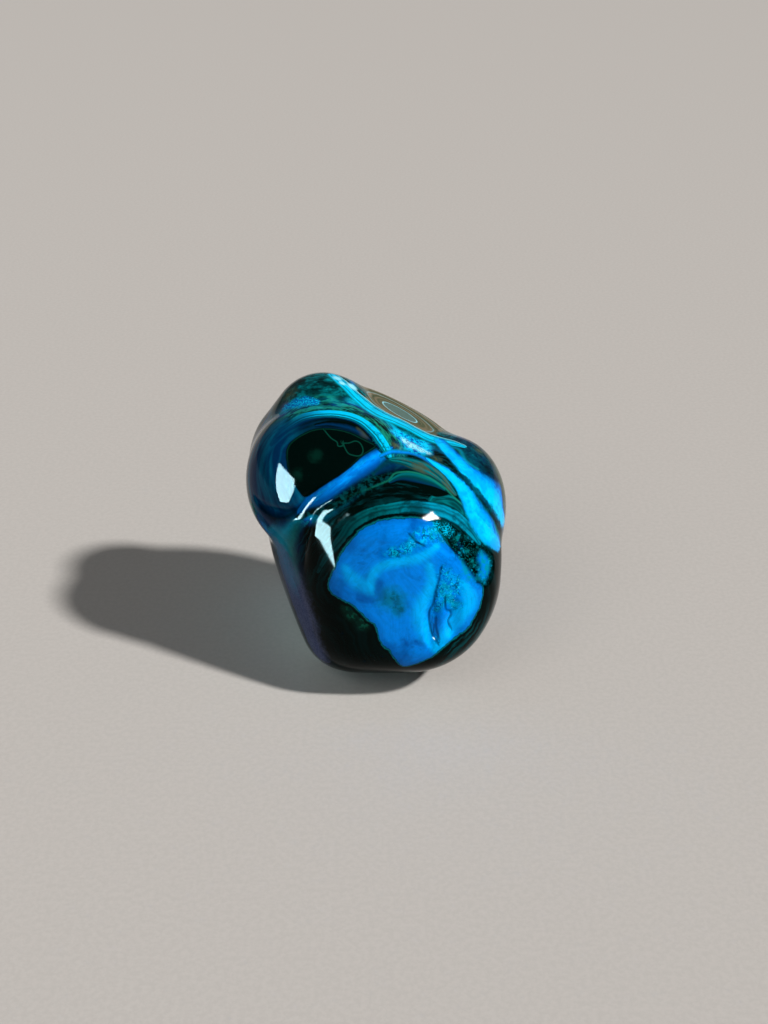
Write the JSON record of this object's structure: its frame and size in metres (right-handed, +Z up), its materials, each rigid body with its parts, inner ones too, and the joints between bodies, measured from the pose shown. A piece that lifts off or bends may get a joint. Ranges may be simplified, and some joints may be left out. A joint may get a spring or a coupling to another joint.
{
  "type": "polished mineral specimen",
  "caption": "Polished freeform of blue-green malachite and chrysocolla with rounded lobes, ground facets and small crystal hollows, standing on a flat ground base.",
  "frame": {"origin": "middle of the box around the stone, on the plane of its flat base", "axes": "+Z up, the longest extent; -Y towards the big blue face; +X to the viewer's right when looking at that face"},
  "size_m": [0.058, 0.0524, 0.0618],
  "materials": {
    "malachite_chrysocolla": "high polish"
  },
  "bodies": {
    "root": {"polished_stone": "malachite_chrysocolla"}
  },
  "joints": []
}
